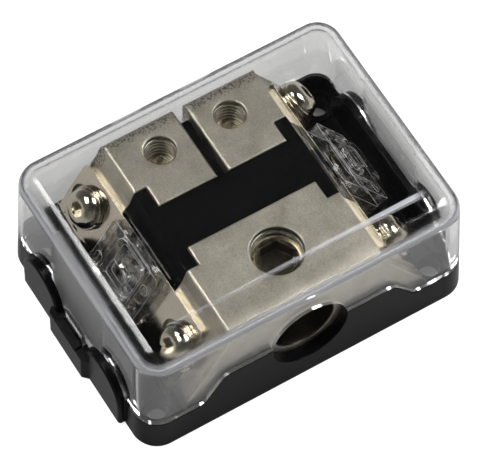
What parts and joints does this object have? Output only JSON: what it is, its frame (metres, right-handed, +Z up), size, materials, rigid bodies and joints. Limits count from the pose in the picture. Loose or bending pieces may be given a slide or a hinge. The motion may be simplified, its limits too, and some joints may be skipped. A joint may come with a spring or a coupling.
{
  "type": "fuse distribution block",
  "caption": "Clear-covered block that splits one heavy cable into two lighter ones through bolted blade fuses on sloping metal flanks.",
  "frame": {"origin": "middle of the tray's underside", "axes": "+X across the two fuses, +Y from the cable inlet to the outlets, +Z up"},
  "size_m": [0.0724, 0.0504, 0.0283],
  "materials": {
    "black_plastic": "glossy moulded",
    "divider_plastic": "satin moulded",
    "clear_plastic": "clear, polished",
    "fuse_plastic": "clear, slightly smoky",
    "plated_block": "satin nickel plate",
    "fuse_metal": "bright tin plate",
    "bright_plate": "polished nickel plate",
    "dark_steel": "dark plated steel"
  },
  "bodies": {
    "base": {"base_tray": "black_plastic", "block_divider": "divider_plastic", "input_block": "plated_block", "output_block_left": "plated_block", "output_block_right": "plated_block", "fuse_strip_left": "fuse_metal", "fuse_shell_outer_left": "fuse_plastic", "fuse_shell_inner_left": "fuse_plastic", "fuse_strip_right": "fuse_metal", "fuse_shell_outer_right": "fuse_plastic", "fuse_shell_inner_right": "fuse_plastic", "fuse_screw_front_left": "bright_plate", "lock_washer_front_left": "bright_plate", "block_screw_front_left": "dark_steel", "fuse_screw_rear_left": "bright_plate", "lock_washer_rear_left": "bright_plate", "block_screw_rear_left": "dark_steel", "fuse_screw_front_right": "bright_plate", "lock_washer_front_right": "bright_plate", "block_screw_front_right": "dark_steel", "fuse_screw_rear_right": "bright_plate", "lock_washer_rear_right": "bright_plate", "block_screw_rear_right": "dark_steel"},
    "cover": {"clear_cover": "clear_plastic"},
    "input_clamp": {"input_clamp_screw": "dark_steel"},
    "output_clamp_left": {"output_clamp_screw_left": "dark_steel"},
    "output_clamp_right": {"output_clamp_screw_right": "dark_steel"}
  },
  "joints": [
    {"name": "cover_lift", "type": "slide", "parent": "base", "child": "cover", "axis": [0, 0, 1], "range_m": [0, 0.035]},
    {"name": "input_clamp_travel", "type": "slide", "parent": "base", "child": "input_clamp", "axis": [0, 0, 1], "range_m": [-0.0077, 0.0034]},
    {"name": "output_clamp_travel_left", "type": "slide", "parent": "base", "child": "output_clamp_left", "axis": [0, 0, 1], "range_m": [-0.0046, 0.0052]},
    {"name": "output_clamp_travel_right", "type": "slide", "parent": "base", "child": "output_clamp_right", "axis": [0, 0, 1], "range_m": [-0.0046, 0.0052]}
  ]
}
